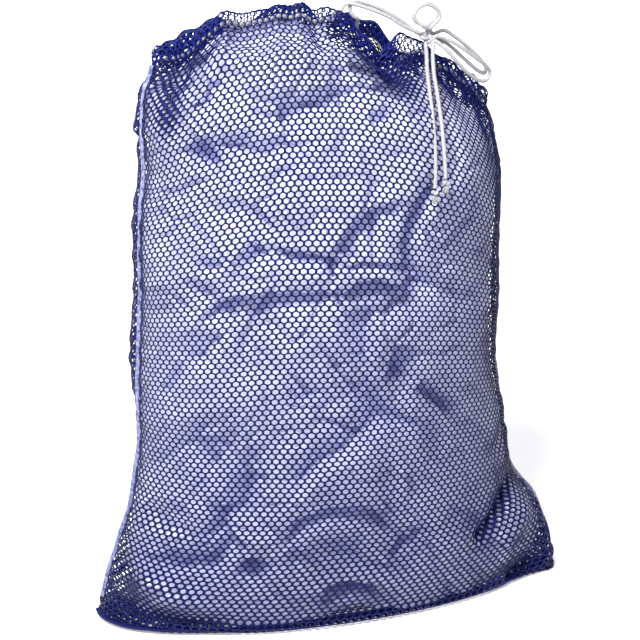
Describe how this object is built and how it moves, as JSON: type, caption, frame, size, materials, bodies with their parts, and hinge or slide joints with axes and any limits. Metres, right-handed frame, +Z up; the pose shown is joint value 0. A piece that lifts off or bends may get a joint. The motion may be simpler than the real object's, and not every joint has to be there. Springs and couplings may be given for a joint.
{
  "type": "mesh laundry bag",
  "caption": "Drawstring mesh laundry bag standing full of folded laundry, its mouth gathered and tied with a bow.",
  "frame": {"origin": "centre of the base, on the surface the full bag stands on", "axes": "+Z up to the mouth, +X along the bottom seam towards the tied bow's side, the front panel faces -Y"},
  "size_m": [0.598, 0.3, 0.774],
  "materials": {
    "netting": "satin",
    "seam": "matte",
    "hem": "satin",
    "cord": "matte",
    "laundry": "matte"
  },
  "bodies": {
    "bag": {"front_panel": "netting", "back_panel": "netting", "left_side_seam": "seam", "right_side_seam": "seam", "bottom_seam": "seam", "front_hem": "hem", "back_hem": "hem", "casing_cord": "cord", "laundry_bottom_left": "laundry", "laundry_bottom_middle": "laundry", "laundry_bottom_right": "laundry", "laundry_low_left": "laundry", "laundry_low_middle": "laundry", "laundry_low_right": "laundry", "laundry_middle_left": "laundry", "laundry_middle_right": "laundry", "laundry_high_left": "laundry", "laundry_high_middle": "laundry", "laundry_high_right": "laundry", "laundry_top_left": "laundry", "laundry_top_right": "laundry"},
    "bow": {"bow_knot": "cord", "front_lead": "cord", "back_lead": "cord"},
    "upright_loops": {"upright_loop_front": "cord", "upright_loop_back": "cord"},
    "side_loops": {"side_loop_front": "cord", "side_loop_back": "cord"},
    "left_tail": {"left_tail": "cord", "left_tail_knot": "cord"},
    "right_tail": {"right_tail": "cord", "right_tail_knot": "cord"}
  },
  "joints": [
    {"name": "bow_lift", "type": "hinge", "parent": "bag", "child": "bow", "pos_m": [0.022, -0.019, 0.7574], "axis": [0, -1, 0], "range_deg": [0, 30]},
    {"name": "upright_loops_flop", "type": "hinge", "parent": "bow", "child": "upright_loops", "pos_m": [0.12, -0.032, 0.729], "axis": [1, 0, 0], "range_deg": [0, 35]},
    {"name": "side_loops_lift", "type": "hinge", "parent": "bow", "child": "side_loops", "pos_m": [0.12, -0.032, 0.729], "axis": [0, -1, 0], "range_deg": [0, 30]},
    {"name": "left_tail_swing", "type": "hinge", "parent": "bow", "child": "left_tail", "pos_m": [0.12, -0.032, 0.729], "axis": [-1, 0, 0], "range_deg": [0, 40]},
    {"name": "right_tail_swing", "type": "hinge", "parent": "bow", "child": "right_tail", "pos_m": [0.12, -0.032, 0.729], "axis": [-1, 0, 0], "range_deg": [0, 40]}
  ]
}
